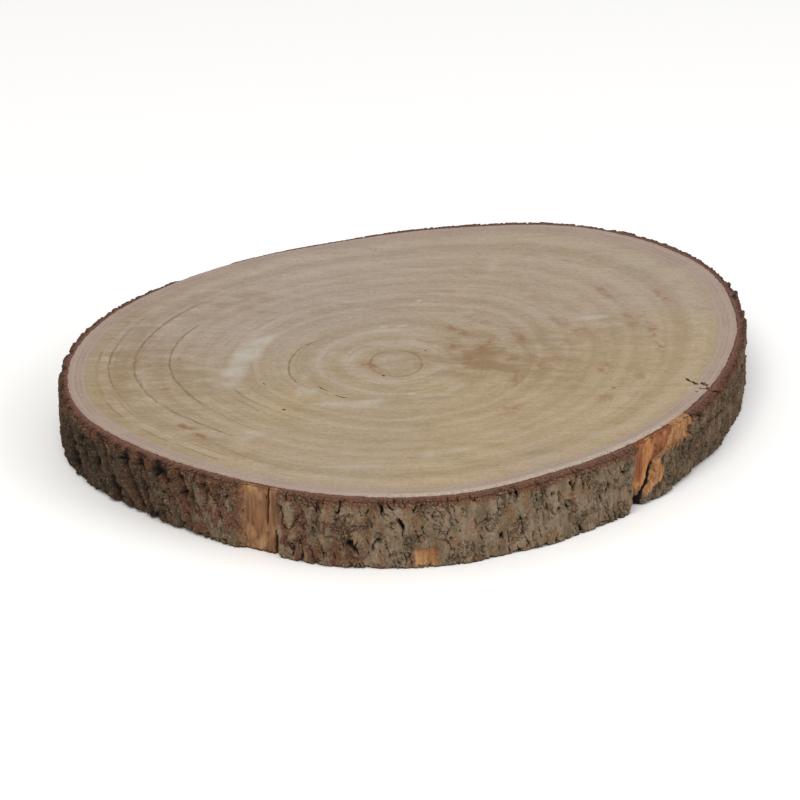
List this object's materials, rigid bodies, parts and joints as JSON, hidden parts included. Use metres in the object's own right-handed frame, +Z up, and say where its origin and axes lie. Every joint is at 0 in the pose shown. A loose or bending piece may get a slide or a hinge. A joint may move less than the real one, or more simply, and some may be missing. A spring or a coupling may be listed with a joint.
{
  "type": "wood slice",
  "caption": "Slice sawn straight across a tree trunk, with flat cut faces showing growth rings and the rough bark still on its rim.",
  "frame": {"origin": "under the middle of the slice's box, on the surface that it lies on", "axes": "+Z up, square to the sawn faces; +X along the slice's widest measure, to the right as it is usually seen; +Y away from the viewer"},
  "size_m": [0.4039, 0.4, 0.04],
  "materials": {
    "wood_slice": "sawn, dry and uncoated, with rough bark round the rim"
  },
  "bodies": {
    "root": {"wood_slice": "wood_slice"}
  },
  "joints": []
}
